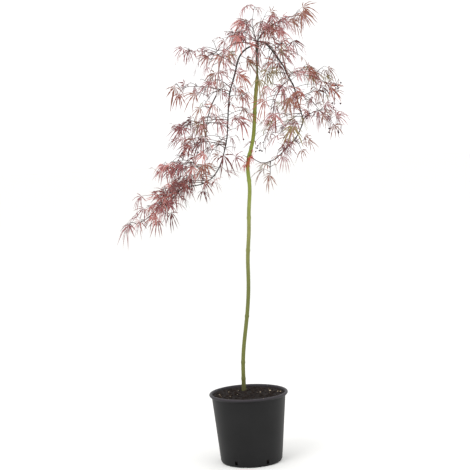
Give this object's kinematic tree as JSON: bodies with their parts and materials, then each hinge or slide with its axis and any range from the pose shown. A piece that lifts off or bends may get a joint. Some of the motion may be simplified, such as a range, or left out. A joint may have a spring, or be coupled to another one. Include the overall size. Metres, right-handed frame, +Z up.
{
  "type": "potted japanese maple",
  "caption": "Weeping grafted maple in a round nursery pot, with a slender leaning trunk, thin arching boughs and hanging masses of finely cut reddish leaves.",
  "frame": {"origin": "centre of the pot's flat underside", "axes": "+Z up, +X to the viewer's right and +Y away from the viewer when the long left bough is on the left"},
  "size_m": [0.5489, 0.4252, 1.0901],
  "materials": {
    "pot": "dark grey moulded plastic with a faint sheen",
    "soil": "damp dark compost of bark and peat with a few pale grains",
    "trunk": "smooth green bark, near-black above the graft",
    "bough": "smooth dark brown bark",
    "foliage": "matt reddish brown and dusty pink leaves"
  },
  "bodies": {
    "root": {"pot": "pot", "soil": "soil", "trunk": "trunk", "left_bough_arch": "bough", "left_bough_shoulder": "bough", "left_bough_fall": "bough", "left_bough_sweep": "bough", "left_bough_tail": "bough", "right_bough_arch": "bough", "right_bough_shoulder": "bough", "right_bough_fall": "bough", "right_bough_return": "bough", "right_bough_inner": "bough", "back_left_bough_arch": "bough", "back_left_bough_fall": "bough", "front_left_bough_arch": "bough", "front_left_bough_fall": "bough", "back_right_bough_arch": "bough", "back_right_bough_fall": "bough", "front_right_bough_arch": "bough", "front_right_bough_fall": "bough", "left_shoulder_foliage": "foliage", "left_upper_foliage": "foliage", "left_upper_front_foliage": "foliage", "left_upper_back_foliage": "foliage", "left_middle_foliage": "foliage", "left_lower_foliage": "foliage", "left_lower_front_foliage": "foliage", "left_lower_back_foliage": "foliage", "left_sweep_foliage": "foliage", "left_sweep_front_foliage": "foliage", "left_sweep_back_foliage": "foliage", "left_tail_foliage": "foliage", "left_tail_front_foliage": "foliage", "left_tail_back_foliage": "foliage", "right_shoulder_foliage": "foliage", "right_inner_foliage": "foliage", "right_upper_foliage": "foliage", "right_upper_front_foliage": "foliage", "right_upper_back_foliage": "foliage", "right_middle_foliage": "foliage", "right_lower_front_foliage": "foliage", "right_lower_back_foliage": "foliage", "right_return_foliage": "foliage", "right_inner_lower_foliage": "foliage", "back_left_upper_foliage": "foliage", "back_left_lower_foliage": "foliage", "front_left_upper_foliage": "foliage", "front_left_lower_foliage": "foliage", "back_right_upper_foliage": "foliage", "back_right_lower_foliage": "foliage", "front_right_upper_foliage": "foliage", "front_right_lower_foliage": "foliage", "top_left_foliage": "foliage", "top_right_foliage": "foliage", "top_back_foliage": "foliage", "top_front_foliage": "foliage", "top_ridge_foliage": "foliage", "trunk_shoot_foliage": "foliage", "left_inner_foliage": "foliage"}
  },
  "joints": []
}
